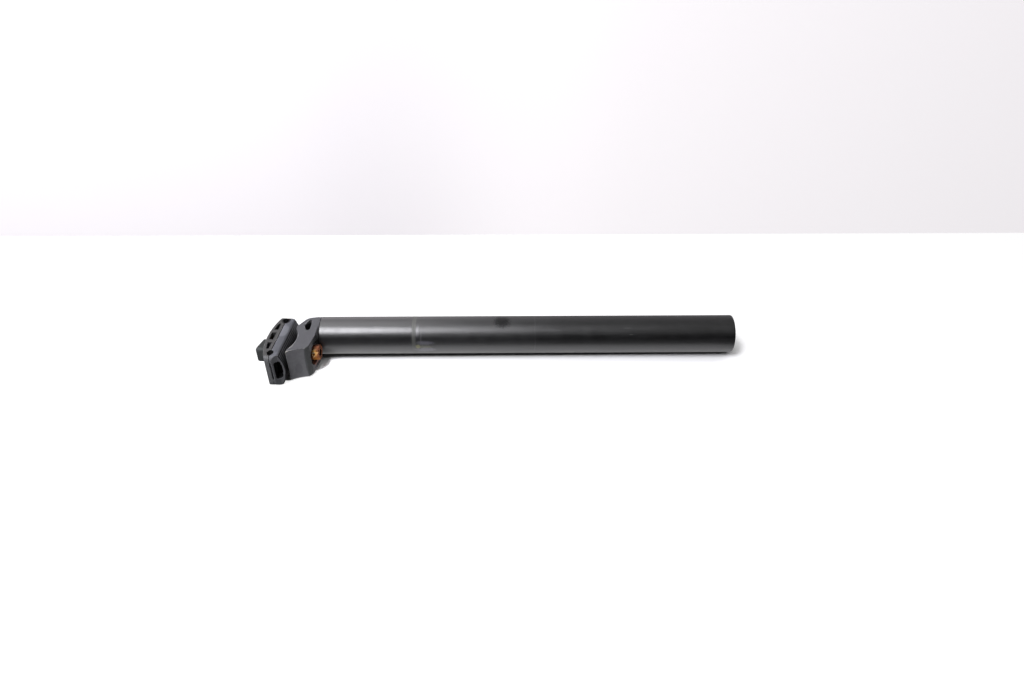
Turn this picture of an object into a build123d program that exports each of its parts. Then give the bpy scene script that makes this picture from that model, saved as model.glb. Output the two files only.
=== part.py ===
from build123d import *
import math
import os

os.makedirs("parts", exist_ok=True)

# Seatpost lying on its side. X runs along the tube axis, 0 at the collar, + towards the open end.
# The head is set back towards -Y. Z is up, across the bicycle.

# post tube
tube_d = 31.6
tube_wall = 2.5
tube_length = 348.0
tube_end_round = 1.0
tube_bore_break = 0.4

# head block
neck_length = 18.0
neck_straight = 4.0
neck_step = 0.2
collar_step = 1.0
block_half = 14.6
block_edge_round = 1.0
far_shoulder_x = -4.9
far_shoulder_round = 5.5
near_face_mid = (-12.8, -38.7)
near_face_end = (-6.2, -37.3)
near_corner_mid = (-4.4, -35.4)
foot_near = (-2.9, -32.1)
foot_far_y = -18.4
recess_depth = 8.0
recess_point_at = (-8.3, 0.7)
recess_point_r = 1.2
recess_side_at = (-10.2, -5.2)
recess_side_r = 2.2
recess_foot_at = (-8.7, -10.2)
recess_foot_r = 1.8

# spigot glued inside the tube
spigot_length = 45.0
spigot_bore_d = 19.0
spigot_bore_depth = 38.0
glue_gap = 0.05

# clamp place: centre of the rail plane on the bolt axis, and its lean
clamp_x = -30.3
clamp_y = -21.5
clamp_lean = 3.8

# rocker curve shared by the cradle and the lower clamp
rocker_r = 28.65
rocker_play = 0.35
tooth_depth = 0.55
tooth_angle = 3.35
cradle_offset = 1.8
cradle_teeth = 18
cradle_far_land = 3.7
cradle_near_land = 3.7
rest_gap = 0.3

# saddle rails
rail_spacing = 44.0
rail_groove_r = 3.6
rail_groove_depth = 2.5

# clamp pair
clamp_width = 56.5
clamp_length = 30.5
clamp_corner_round = 4.5
jaw_gap = 0.4
lower_height = 10.6
lower_end_height = 1.6
lower_waist_width = 50.2
lower_foot_width = 48.4
lower_teeth = 18
lower_foot_bevel = 0.7
pocket_depth = 10.0
pocket_roof = 2.5
pocket_wall = 2.4
pocket_half = 8.3
pocket_round = 1.6
side_notch_length = 16.0
side_notch_depth = 0.7
upper_mid_height = 8.7
upper_edge_height = 3.6
mid_window_width = 9.2
side_window_width = 7.8
window_pitch = 12.9
window_floor = 2.9
window_wall = 2.5
window_depth = 11.6
window_round = 0.8

# nut
nut_width = 15.2
nut_length = 14.2
nut_height = 9.9
nut_slope = 13.0
nut_corner_round = 2.6
nut_edge_round = 1.1
nut_seat_depth = 1.5
nut_seat_play = 0.15

# bolt, washer and their slot
bolt_d = 8.0
bolt_length = 40.0
bolt_head_d = 13.0
bolt_head_height = 8.0
bolt_head_round = 0.8
bolt_tip_bevel = 0.8
key_size = 6.0
key_depth = 4.0
thread_play = 0.03
clamp_hole_d = 9.0
slot_width = 9.0
slot_length = 18.0
seat_depth = 7.6
seat_pocket_width = 17.6
seat_pocket_length = 19.5
washer_d = 15.4
washer_bore_d = 8.6
washer_thickness = 1.6
washer_play = 0.02

# derived places
tube_r = tube_d / 2
bore_r = tube_r - tube_wall
clamp_plane = Plane(
    origin=(clamp_x, clamp_y, 0),
    x_dir=(-math.sin(math.radians(clamp_lean)), -math.cos(math.radians(clamp_lean)), 0),
    z_dir=(-math.cos(math.radians(clamp_lean)), math.sin(math.radians(clamp_lean)), 0),
)
jaw = jaw_gap / 2
lower_foot = -jaw - lower_height
rocker_centre = lower_foot + rocker_r
cradle_r = rocker_r + rocker_play
land_level = lower_foot - rest_gap
cradle_half = cradle_teeth * tooth_angle / 2
cradle_reach = cradle_r * math.sin(math.radians(cradle_half))
cradle_centre = land_level + cradle_r * math.cos(math.radians(cradle_half))
cradle_floor = cradle_centre - cradle_r - tooth_depth
seat_level = cradle_floor - seat_depth
seat_r = cradle_centre - seat_level
bolt_shoulder = seat_level - washer_thickness
nut_foot = jaw + upper_mid_height - nut_seat_depth
groove_drop = rail_groove_r - rail_groove_depth


def saw_arc(centre, radius, depth, half_angle, teeth):
    # points of a saw-toothed arc below its centre, crests on the radius, roots deeper or shallower by depth
    step = 2 * half_angle / teeth
    row = []
    for i in range(2 * teeth + 1):
        angle = math.radians(-half_angle + i * step / 2)
        reach = radius + depth * (i % 2)
        row.append((centre[0] + reach * math.sin(angle), centre[1] - reach * math.cos(angle)))
    return row


def flat(points):
    # closed face through points
    return make_face(Polyline(*points, close=True))


def to_world(spot):
    # a point given as (across, up) in the clamp plane's upright section, as world x and y
    place = clamp_plane.from_local_coords((spot[0], 0, spot[1]))
    return (place.X, place.Y)


# post tube
tube = Plane.YZ * Circle(tube_r)
tube = extrude(tube, amount=tube_length)
tube -= extrude(Plane.YZ * Circle(bore_r), amount=tube_length)
end_edges = tube.edges().filter_by(GeomType.CIRCLE).filter_by_position(Axis.X, tube_length - 0.1, tube_length + 0.1)
tube = fillet(end_edges.sort_by(SortBy.RADIUS)[-1], tube_end_round)
end_edges = tube.edges().filter_by(GeomType.CIRCLE).filter_by_position(Axis.X, tube_length - 0.1, tube_length + 0.1)
tube = chamfer(end_edges.sort_by(SortBy.RADIUS)[0], tube_bore_break)

# head: outline seen from the side, then the flat-sided block and the tapering neck cut to it
saw = saw_arc((cradle_offset, cradle_centre), cradle_r, tooth_depth, cradle_half, cradle_teeth)
far_land = (cradle_offset - cradle_reach - cradle_far_land, land_level)
near_land = (cradle_offset + cradle_reach + cradle_near_land, land_level)
cradle_row = [to_world(far_land)] + [to_world(spot) for spot in saw] + [to_world(near_land)]
far_tip = cradle_row[0]
near_tip = cradle_row[-1]
neck_shoulder = (far_shoulder_x, tube_r)
foot_far = (-collar_step, foot_far_y)
with BuildLine() as outline_line:
    Polyline(foot_far, (-collar_step, tube_r), neck_shoulder, *cradle_row)
    ThreePointArc(near_tip, near_face_mid, near_face_end)
    ThreePointArc(near_face_end, near_corner_mid, foot_near)
    Line(foot_near, foot_far)
outline = make_face(outline_line.line)
outline = fillet(outline.vertices().sort_by_distance((*neck_shoulder, 0))[0], far_shoulder_round)
outline = fillet(outline.vertices().sort_by_distance((*far_tip, 0))[0], block_edge_round)
bar = Box(4 * tube_d, 4 * tube_d, 2 * block_half, align=(Align.CENTER, Align.MAX, Align.CENTER))
block = extrude(outline, amount=tube_r, both=True) & bar
near_edges = block.faces().sort_by(Axis.Y)[0].edges().filter_by(Axis.Z, reverse=True)
block = fillet(near_edges, block_edge_round)
neck_r = tube_r - neck_step
neck_side = flat(
    [
        (0, 0),
        (0, neck_r),
        (-neck_straight, neck_r),
        (-neck_length, block_half - neck_step),
        (-neck_length, 0),
    ]
)
neck = revolve(neck_side, Axis.X) & extrude(outline, amount=tube_r, both=True)
collar = extrude(Plane.YZ * Circle(neck_r), amount=-collar_step)
head = block + neck + collar

# bolt slot, washer seat and teardrop recesses
slot_plane = clamp_plane.offset(cradle_floor - seat_depth - 20)
slot = extrude(slot_plane * SlotOverall(slot_length, slot_width), amount=40)
pocket = extrude(slot_plane * RectangleRounded(seat_pocket_length, seat_pocket_width, 6), amount=40)
seat_axis = Plane(origin=clamp_plane.from_local_coords((0, 0, cradle_centre)), z_dir=(0, 0, 1))
seat_bar = extrude(seat_axis * Circle(seat_r), amount=tube_r, both=True)
head -= slot
head -= pocket - seat_bar
recess_edges = (Pos(*recess_point_at) * Circle(recess_point_r)).edges()
recess_edges += (Pos(*recess_side_at) * Circle(recess_side_r)).edges()
recess_edges += (Pos(*recess_foot_at) * Circle(recess_foot_r)).edges()
recess = Pos(0, 0, block_half - recess_depth) * extrude(make_hull(recess_edges), amount=recess_depth + neck_r)
head -= recess
head -= mirror(recess, Plane.XY)

# spigot inside the tube
spigot = extrude(Plane.YZ * Circle(bore_r - glue_gap), amount=spigot_length)
spigot_bore_start = Plane.YZ.offset(spigot_length - spigot_bore_depth)
spigot -= extrude(spigot_bore_start * Circle(spigot_bore_d / 2), amount=spigot_bore_depth)
head += spigot

# lower clamp, drawn on its own plane: x across the rails, y along them, z away from the tube
clamp_blank = RectangleRounded(clamp_width, clamp_length, clamp_corner_round)
half_length = clamp_length / 2
half_width = clamp_width / 2
lower_half = lower_teeth * tooth_angle / 2
side_foot = rocker_centre - math.sqrt(rocker_r**2 - half_length**2) + lower_foot_bevel
lower_row = saw_arc((0, rocker_centre), rocker_r, -tooth_depth, lower_half, lower_teeth)
lower_side = [(half_length, side_foot), (half_length, -jaw), (-half_length, -jaw), (-half_length, side_foot)]
lower = extrude(Plane.YZ * flat(lower_row + lower_side), amount=half_width, both=True)
lower &= extrude(Pos(0, 0, lower_foot - 1) * clamp_blank, amount=lower_height + 2)
end_row = [
    (half_width, -jaw),
    (half_width, -jaw - lower_end_height),
    (lower_waist_width / 2, side_foot),
    (lower_foot_width / 2, lower_foot),
]
end_row += [(-across, level) for across, level in reversed(end_row)]
lower &= extrude(Plane.XZ * flat(end_row), amount=half_length, both=True)
pocket_r = rocker_r - pocket_wall
pocket_corner = rocker_centre - math.sqrt(pocket_r**2 - pocket_half**2)
pocket_top = -jaw - pocket_roof
with BuildLine() as pocket_line:
    Polyline((pocket_half, pocket_corner), (pocket_half, pocket_top), (-pocket_half, pocket_top))
    Line((-pocket_half, pocket_top), (-pocket_half, pocket_corner))
    ThreePointArc((-pocket_half, pocket_corner), (0, rocker_centre - pocket_r), (pocket_half, pocket_corner))
pocket_face = make_face(pocket_line.line)
pocket_face = fillet(pocket_face.vertices(), pocket_round)
side_notch = Box(2 * (half_width - rail_spacing / 2), side_notch_length, 2 * side_notch_depth)
for side in (-1, 1):
    side_plane = Plane.YZ.offset(side * (half_width - pocket_depth))
    lower -= extrude(side_plane * pocket_face, amount=side * (pocket_depth + 1))
    groove = Pos(side * rail_spacing / 2, 0, groove_drop - jaw) * Rot(90, 0, 0)
    lower -= groove * Cylinder(rail_groove_r, clamp_length + 2)
    lower -= Pos(side * half_width, 0, -jaw) * side_notch
lower -= Cylinder(clamp_hole_d / 2, 4 * lower_height)

# upper clamp
def arch_face(wall, floor):
    # section across the rails under the arch, thinner by wall, down to the floor level
    with BuildLine() as arch_line:
        Polyline((-half_width, jaw + upper_edge_height - wall), (-half_width, 0), (half_width, 0))
        Line((half_width, 0), (half_width, jaw + upper_edge_height - wall))
        ThreePointArc(
            (half_width, jaw + upper_edge_height - wall),
            (0, jaw + upper_mid_height - wall),
            (-half_width, jaw + upper_edge_height - wall),
        )
    below = Pos(0, floor) * Rectangle(2 * half_width, 2 * upper_mid_height, align=(Align.CENTER, Align.MAX))
    return make_face(arch_line.line) - below


upper = extrude(Plane.XZ * arch_face(0, jaw), amount=half_length, both=True)
upper &= extrude(clamp_blank, amount=upper_mid_height + 2)
window_plane = Plane.XZ.offset(half_length - window_depth)
for column, width in ((-1, side_window_width), (0, mid_window_width), (1, side_window_width)):
    strip = Pos(column * window_pitch, 0) * Rectangle(width, 4 * upper_mid_height)
    mouth = arch_face(window_wall, jaw + window_floor) & strip
    mouth = fillet(mouth.vertices(), window_round)
    window = extrude(window_plane * mouth, amount=window_depth + 1)
    upper -= window
    upper -= mirror(window, Plane.XZ)
for side in (-1, 1):
    groove = Pos(side * rail_spacing / 2, 0, jaw - groove_drop) * Rot(90, 0, 0)
    upper -= groove * Cylinder(rail_groove_r, clamp_length + 2)
upper -= Cylinder(clamp_hole_d / 2, 4 * upper_mid_height)
seat_blank = RectangleRounded(nut_width + 2 * nut_seat_play, nut_length + 2 * nut_seat_play, nut_corner_round)
upper -= extrude(Pos(0, 0, nut_foot) * seat_blank, amount=upper_mid_height)

# nut with a sloping back
nut_half = nut_width / 2
nut_top = nut_foot + nut_height
nut_rise = nut_half * math.tan(math.radians(nut_slope))
nut_side = flat(
    [
        (-nut_half, nut_foot),
        (nut_half, nut_foot),
        (nut_half, nut_top + nut_rise),
        (-nut_half, nut_top - nut_rise),
    ]
)
nut_blank = Pos(0, 0, nut_foot) * RectangleRounded(nut_width, nut_length, nut_corner_round)
nut = extrude(Plane.XZ * nut_side, amount=nut_length / 2, both=True)
nut &= extrude(nut_blank, amount=2 * nut_height)
nut = fillet(nut.faces().sort_by(Axis.Z)[-1].edges(), nut_edge_round)
nut -= Pos(0, 0, nut_foot) * Cylinder(bolt_d / 2 + thread_play, 4 * nut_height)

# washer with a hollow face that rides on the curved seat
washer = Pos(0, 0, bolt_shoulder + washer_play) * Cylinder(
    washer_d / 2, 4 * washer_thickness, align=(Align.CENTER, Align.CENTER, Align.MIN)
)
washer -= Pos(0, 0, bolt_shoulder) * Cylinder(washer_bore_d / 2, 12 * washer_thickness)
washer -= Pos(0, 0, cradle_centre) * Rot(90, 0, 0) * Cylinder(seat_r + washer_play, 2 * washer_d)

# bolt
bolt = Pos(0, 0, bolt_shoulder - bolt_head_height) * Cylinder(
    bolt_head_d / 2, bolt_head_height, align=(Align.CENTER, Align.CENTER, Align.MIN)
)
bolt = fillet(bolt.edges().filter_by(GeomType.CIRCLE).sort_by(Axis.Z)[0], bolt_head_round)
socket = RegularPolygon(key_size / 2, 6, major_radius=False)
bolt -= extrude(Pos(0, 0, bolt_shoulder - bolt_head_height) * socket, amount=key_depth)
shank = Pos(0, 0, bolt_shoulder) * Cylinder(
    bolt_d / 2, bolt_length, align=(Align.CENTER, Align.CENTER, Align.MIN)
)
shank = chamfer(shank.edges().filter_by(GeomType.CIRCLE).sort_by(Axis.Z)[-1], bolt_tip_bevel)
bolt += shank

pieces = {
    "post_tube": tube,
    "post_head": head,
    "lower_clamp": clamp_plane.location * lower,
    "upper_clamp": clamp_plane.location * upper,
    "clamp_nut": clamp_plane.location * nut,
    "bolt_washer": clamp_plane.location * washer,
    "clamp_bolt": clamp_plane.location * bolt,
}
for name, piece in pieces.items():
    export_step(piece, f"parts/{name}.step")
    print(name, piece.volume, piece.bounding_box())
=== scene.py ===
import bmesh
import bpy
import math
import numpy as np
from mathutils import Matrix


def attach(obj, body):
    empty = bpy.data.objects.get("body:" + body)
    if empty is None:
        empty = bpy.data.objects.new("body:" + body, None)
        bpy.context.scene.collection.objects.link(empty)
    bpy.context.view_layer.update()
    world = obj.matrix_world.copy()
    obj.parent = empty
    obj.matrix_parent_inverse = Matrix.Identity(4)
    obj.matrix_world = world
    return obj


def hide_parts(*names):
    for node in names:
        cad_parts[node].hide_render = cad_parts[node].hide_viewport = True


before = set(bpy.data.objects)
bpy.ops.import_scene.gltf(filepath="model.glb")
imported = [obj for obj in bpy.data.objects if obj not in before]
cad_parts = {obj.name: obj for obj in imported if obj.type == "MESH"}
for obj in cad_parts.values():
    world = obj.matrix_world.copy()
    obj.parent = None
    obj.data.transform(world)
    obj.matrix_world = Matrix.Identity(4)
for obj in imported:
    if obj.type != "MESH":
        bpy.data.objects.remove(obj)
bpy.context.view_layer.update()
scene = bpy.context.scene
scene.view_settings.view_transform = "Standard"
mm = 0.001
print("frame loaded:", sorted(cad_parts))

# the clamp stands across the bolt: its x runs across the rails, y is world Z and z runs along the bolt to
# the nut, all in millimetres
clampSpot = {"x": -30.3, "y": -21.5, "lean": 3.8}
lean = math.radians(clampSpot["lean"])
clampAxes = np.array([
    [-math.sin(lean), -math.cos(lean), 0.0],
    [0.0, 0.0, 1.0],
    [-math.cos(lean), math.sin(lean), 0.0],
])
clampOrigin = np.array([clampSpot["x"], clampSpot["y"], 0.0])


# tools for shapes

mergeGaps = {"pole": 1e-7, "solid": 1e-6}
lumpSpec = {"waves": 7, "spread": (0.6, 1.7), "phase": 6.28}


def toClamp(points):
    # clamp millimetres to the part's own frame: origin plus each coordinate along its clamp axis
    return (clampOrigin + points @ clampAxes) * mm


def ramp(values, low, high):
    # 0 up to low, 1 from high on, a straight rise between
    return np.clip((values - low) / (high - low), 0, 1)


def column(values):
    # a list as one value for each row of a grid
    return np.array(values, float)[:, None]


def gridFaces(rows, cols, closeRows):
    # quads between neighbouring rows and columns; columns always join up, rows where asked
    r = np.arange(rows if closeRows else rows - 1)[:, None]
    c = np.arange(cols)[None, :]
    r2, c2 = (r + 1) % rows, (c + 1) % cols
    return np.stack([r * cols + c, r * cols + c2, r2 * cols + c2, r2 * cols + c], -1).reshape(-1, 4)


def putMesh(name, points, faces):
    # arrays straight into a mesh, turned outwards by the sign of the enclosed volume
    a, b, c, d = (points[faces[:, i]] for i in range(4))
    volume = np.einsum("ij,ij->", a, np.cross(b, c)) + np.einsum("ij,ij->", a, np.cross(c, d))
    if volume < 0:
        faces = faces[:, ::-1]
    mesh = bpy.data.meshes.new(name)
    mesh.vertices.add(len(points))
    mesh.vertices.foreach_set("co", points.astype(np.float32).ravel())
    mesh.loops.add(faces.size)
    mesh.loops.foreach_set("vertex_index", np.ascontiguousarray(faces).astype(np.int32).ravel())
    mesh.polygons.add(len(faces))
    mesh.polygons.foreach_set("loop_start", np.arange(0, faces.size, 4, dtype=np.int32))
    mesh.update(calc_edges=True)
    return mesh


def keepValues(mesh, name, values):
    # one number per point, for the finish to read
    data = mesh.attributes.new(name, "FLOAT", "POINT").data
    data.foreach_set("value", values.astype(np.float32).ravel())


def mergeClose(mesh, gap):
    # points closer than the gap become one
    work = bmesh.new()
    work.from_mesh(mesh)
    bmesh.ops.remove_doubles(work, verts=work.verts, dist=gap)
    work.to_mesh(mesh)
    work.free()


def linkPiece(name, mesh):
    # smooth faces on an object at the origin
    mesh.polygons.foreach_set("use_smooth", np.ones(len(mesh.polygons), bool))
    piece = bpy.data.objects.new(name, mesh)
    scene.collection.objects.link(piece)
    return piece


def gridPiece(name, grid, closeRows, sharpAngle, shade=None):
    # one closed skin from a grid of points; rows that shrink to a pole are merged there
    rows, cols, _ = grid.shape
    mesh = putMesh(name, grid.reshape(-1, 3), gridFaces(rows, cols, closeRows))
    if shade is not None:
        keepValues(mesh, "shade", shade)
    mergeClose(mesh, mergeGaps["pole"])
    piece = linkPiece(name, mesh)
    mesh.set_sharp_from_angle(angle=math.radians(sharpAngle))
    return piece


def settle(piece, body, node, material):
    # the piece takes its finish, rides on its body and stands for its solid
    piece.data.materials.clear()
    piece.data.materials.append(material)
    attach(piece, body)
    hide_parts(node)
    print("piece", piece.name, "faces", len(piece.data.polygons))


def lumps(points, size, seed):
    # soft noise from -1 to 1: the mean of several sine waves that run in fixed different directions
    draw = np.random.default_rng(seed)
    count = lumpSpec["waves"]
    ways = draw.normal(size=(count, 3))
    ways /= np.linalg.norm(ways, axis=1, keepdims=True)
    waves = 2 * np.pi / size * draw.uniform(*lumpSpec["spread"], count)
    return np.sin(points @ ways.T * waves + draw.uniform(0, lumpSpec["phase"], count)).mean(-1)


# tools for finishes: an input is a plain value or another node's output

blotGrain = 0.0016
noiseRange = (0.3, 0.7)  # where a noise does most of its rising


def feed(tree, socket, value):
    # an output is linked, a plain value is set
    if isinstance(value, bpy.types.NodeSocket):
        tree.links.new(value, socket)
    else:
        socket.default_value = value


def addNode(tree, kind, inputs=None, **settings):
    # a node with its settings and inputs
    made = tree.nodes.new(kind)
    for key, value in settings.items():
        setattr(made, key, value)
    for key, value in (inputs or {}).items():
        feed(tree, made.inputs[key], value)
    return made


def newFinish(name):
    # a new finish, with its tree, its shader and the place on the piece
    material = bpy.data.materials.new(name)
    material.use_nodes = True
    tree = material.node_tree
    spot = tree.nodes.new("ShaderNodeTexCoord").outputs["Object"]
    return material, tree, tree.nodes["Principled BSDF"], spot


def grain(tree, spot, size, stretch=(1, 1, 1), detail=4.0, rough=0.55, warp=0.0):
    # noise of the given size in metres, longer along an axis whose stretch is under 1
    scale = tuple(s / size for s in stretch)
    mapped = addNode(tree, "ShaderNodeMapping", {"Vector": spot, "Scale": scale})
    noise = addNode(tree, "ShaderNodeTexNoise", {
        "Vector": mapped.outputs["Vector"], "Scale": 1.0,
        "Detail": detail, "Roughness": rough, "Distortion": warp})
    return noise.outputs["Fac"]


def remap(tree, value, low, high, toLow=0.0, toHigh=1.0, smooth=True):
    # value from low..high to toLow..toHigh, eased at both ends where smooth
    made = addNode(tree, "ShaderNodeMapRange", {
        "Value": value, "From Min": low, "From Max": high, "To Min": toLow, "To Max": toHigh})
    made.interpolation_type = "SMOOTHSTEP" if smooth else "LINEAR"
    return made.outputs["Result"]


def calc(tree, operation, a, b=0.0, clamp=False):
    # one operation on two values
    made = addNode(tree, "ShaderNodeMath", {0: a, 1: b}, operation=operation, use_clamp=clamp)
    return made.outputs["Value"]


def plus(tree, a, b):
    # a added to b
    return calc(tree, "ADD", a, b)


def minus(tree, a, b):
    # a less b
    return calc(tree, "SUBTRACT", a, b)


def times(tree, a, b):
    # a multiplied by b
    return calc(tree, "MULTIPLY", a, b)


def distance(tree, a, b):
    # root of the sum of two squares
    return calc(tree, "SQRT", plus(tree, times(tree, a, a), times(tree, b, b)))


def uneven(tree, noise, height):
    # noise about zero: what it differs from a half, times a height
    return times(tree, minus(tree, noise, 0.5), height)


def blendColour(tree, share, a, b, way="MIX"):
    # a where the share is 0, b where it is 1; a plain colour has three numbers
    made = addNode(tree, "ShaderNodeMix", data_type="RGBA", blend_type=way)
    feed(tree, made.inputs[0], share)
    for key, value in ((6, a), (7, b)):
        feed(tree, made.inputs[key], value if isinstance(value, bpy.types.NodeSocket) else (*value, 1.0))
    return made.outputs[2]


def bumpOn(tree, shader, height, depth, strength):
    # a height times its depth in metres, which only the light feels
    made = addNode(tree, "ShaderNodeBump", {"Height": height, "Distance": depth, "Strength": strength})
    tree.links.new(made.outputs["Normal"], shader.inputs["Normal"])


def meshValue(tree, name):
    # a number kept per point, 0 on a piece that has none
    return addNode(tree, "ShaderNodeAttribute", attribute_name=name).outputs["Fac"]


def blot(tree, spot, at, reach, ragged=0.5, soft=0.3):
    # 1 inside an ellipsoid, 0 outside: the length of the offset over the reach, in millimetres, made uneven
    # by noise
    scale = tuple(1 / (r * mm) for r in reach)
    offset = tuple(-a / r for a, r in zip(at, reach))
    mapped = addNode(tree, "ShaderNodeMapping", {"Vector": spot, "Scale": scale, "Location": offset})
    far = addNode(tree, "ShaderNodeVectorMath", {0: mapped.outputs["Vector"]}, operation="LENGTH")
    edge = plus(tree, far.outputs["Value"], uneven(tree, grain(tree, spot, blotGrain), ragged))
    return remap(tree, edge, 1.0 + soft, 1.0 - soft)


def dab(tree, spot, colour, spec, ragged=0.5, soft=0.3):
    # a blot of its own colour laid over the colour so far
    mask = times(tree, blot(tree, spot, spec["at"], spec["reach"], ragged, soft), spec["share"])
    return blendColour(tree, mask, colour, spec["colour"])


def bandMask(tree, along, span, soft):
    # 1 between the two ends of a span, 0 outside it
    rise = remap(tree, along, span[0] - soft, span[0] + soft)
    fall = remap(tree, along, span[1] - soft, span[1] + soft)
    return calc(tree, "SUBTRACT", rise, fall, clamp=True)


# tube finish: black anodising, shiny near the head, rubbed dull where it has been inside a frame, with a
# worn ring, scuffs, a scratch with a painted glint and a stain where the frame's edge was; bands and grains
# in metres, blots in millimetres, and four numbers in a row map the first two to the last two

tubeFinish = {
    "base": 0.007, "dull": 0.004, "blue": 1.08, "specular": 0.8,
    "shiny": 0.33, "rubbed": 0.37, "matt": 0.33, "shinyEnd": (0.0768, 0.0776), "step": (0.157, 0.207),
    "wobble": 0.006, "wobbleHeight": 0.0018,
    "streaks": {"size": 0.0011, "stretch": (0.03, 1, 1), "detail": 6, "rough": 0.7},
    "mottle": {"size": 0.009, "detail": 6, "rough": 0.65},
    "fine": {"size": 0.00045, "detail": 2},
    "hoops": {"size": 0.0008, "stretch": (1, 0.08, 0.08), "detail": 4},
    "mottleTone": (0.25, 0.75, 0.75, 1.2), "streakTone": (0.3, 0.7, 0.85, 1.15),
    "mottleRough": (0.3, 0.7, -0.02, 0.03), "streakRough": (0.3, 0.7, -0.03, 0.04),
    "hoopWear": (0.35, 0.65, 0.45, 1.0), "streakBlot": (0.3, 0.7, 0.55, 1.0),
    "streakBump": 0.5, "bump": (0.00003, 0.25), "heightSoft": 0.002,
    "bands": [
        {"span": (0.0772, 0.0806), "soft": 0.0003, "broken": True, "fade": (-0.002, 0.009, 0.4, 1.0),
         "colour": (0.062, 0.063, 0.055), "share": 0.9, "dry": 0.25},
        # a scratch ring, pale only across the height of the lamp's highlight: a real scratch with a painted
        # glint
        {"span": (0.0808, 0.0828), "soft": 0.0004, "broken": True, "heights": (0.0085, 0.0135),
         "colour": (0.2, 0.2, 0.21), "share": 0.6},
        {"span": (0.0846, 0.0852), "soft": 0.0005, "broken": False, "heights": (0.004, 0.0105),
         "colour": (0.16, 0.16, 0.17), "share": 0.35},
        {"span": (0.1797, 0.1803), "soft": 0.0003, "broken": True,
         "colour": (0.2, 0.2, 0.21), "share": 0.1},
    ],
    "blotEdge": (0.9, 0.5), "blotDry": 0.15,
    "blots": [
        {"at": (82.2, -15.8, -0.8), "reach": (1.9, 3.0, 1.8), "colour": (0.2, 0.2, 0.065), "share": 0.75},
        {"at": (87.5, -15.8, -1.0), "reach": (6.0, 3.0, 1.4), "colour": (0.1, 0.1, 0.055), "share": 0.55},
        {"at": (88.0, -15.5, 2.9), "reach": (6.2, 3.0, 1.7), "colour": (0.13, 0.13, 0.155), "share": 0.5},
        {"at": (88.2, -15.1, -4.4), "reach": (7.4, 3.0, 2.4), "colour": (0.2, 0.2, 0.235), "share": 0.45},
        {"at": (257.5, -9.2, 12.8), "reach": (3.4, 0.3, 0.3), "colour": (0.13, 0.13, 0.135), "share": 0.35},
        {"at": (260.5, -13.1, 8.8), "reach": (1.6, 0.4, 0.4), "colour": (0.12, 0.13, 0.12), "share": 0.4},
    ],
    "smudgeEdge": (1.5, 0.5),
    "smudge": {
        "at": (152.5, -1.5, 15.5), "reach": (6.0, 7.5, 4.0), "colour": (0.018, 0.018, 0.019), "share": 0.8},
}


def tubeMaterial():
    # colour: a dark tone times mottle and streaks, with the bands, the blots and the smudge laid over it;
    # roughness: by stretch of the tube, plus streaks and mottle and what the ring and the blots dry out
    look = tubeFinish
    material, tree, shader, spot = newFinish("blackAnodised")
    axis = addNode(tree, "ShaderNodeSeparateXYZ", {"Vector": spot})
    along = uneven(tree, grain(tree, spot, look["wobble"]), look["wobbleHeight"])
    along = plus(tree, axis.outputs["X"], along)
    streaks, mottle, fine, hoops = (
        grain(tree, spot, **look[kind]) for kind in ("streaks", "mottle", "fine", "hoops"))
    pastRing = remap(tree, along, *look["shinyEnd"])
    pastStep = remap(tree, along, *look["step"])
    tone = remap(tree, pastStep, 0, 1, look["base"], look["dull"], smooth=False)
    tone = times(tree, tone, remap(tree, mottle, *look["mottleTone"]))
    tone = times(tree, tone, remap(tree, streaks, *look["streakTone"]))
    paint = addNode(tree, "ShaderNodeCombineColor", {
        "Red": tone, "Green": tone, "Blue": times(tree, tone, look["blue"])}).outputs["Color"]
    worn = remap(tree, hoops, *look["hoopWear"])
    dry = 0.0
    for band in look["bands"]:
        mask = bandMask(tree, along, band["span"], band["soft"])
        if band["broken"]:
            mask = times(tree, mask, worn)
        if "fade" in band:
            mask = times(tree, mask, remap(tree, axis.outputs["Z"], *band["fade"]))
        if "heights" in band:
            mask = times(tree, mask, bandMask(tree, axis.outputs["Z"], band["heights"], look["heightSoft"]))
        paint = blendColour(tree, times(tree, mask, band["share"]), paint, band["colour"])
        if "dry" in band:
            dry = plus(tree, dry, times(tree, mask, band["dry"]))
    for spec in look["blots"]:
        mask = times(tree, blot(tree, spot, spec["at"], spec["reach"], *look["blotEdge"]), spec["share"])
        mask = times(tree, mask, remap(tree, streaks, *look["streakBlot"]))
        paint = blendColour(tree, mask, paint, spec["colour"])
        dry = plus(tree, dry, times(tree, mask, look["blotDry"]))
    spec = look["smudge"]
    smudge = times(tree, blot(tree, spot, spec["at"], spec["reach"], *look["smudgeEdge"]), spec["share"])
    paint = blendColour(tree, smudge, paint, spec["colour"])
    tree.links.new(smudge, shader.inputs["Metallic"])  # a dark metal mirrors less than the anodising
    tree.links.new(paint, shader.inputs["Base Color"])
    rough = remap(tree, pastRing, 0, 1, look["shiny"], look["rubbed"], smooth=False)
    rough = plus(tree, rough, times(tree, pastStep, look["matt"] - look["rubbed"]))
    rough = plus(tree, rough, remap(tree, streaks, *look["streakRough"]))
    rough = plus(tree, rough, remap(tree, mottle, *look["mottleRough"]))
    tree.links.new(plus(tree, rough, dry), shader.inputs["Roughness"])
    shader.inputs["Specular IOR Level"].default_value = look["specular"]
    bumpOn(tree, shader, plus(tree, fine, times(tree, streaks, look["streakBump"])), *look["bump"])
    return material


# head and clamp finish: matt grey, paler where edges rub, painted shade in hollows and on tops, some painted
# light

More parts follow.
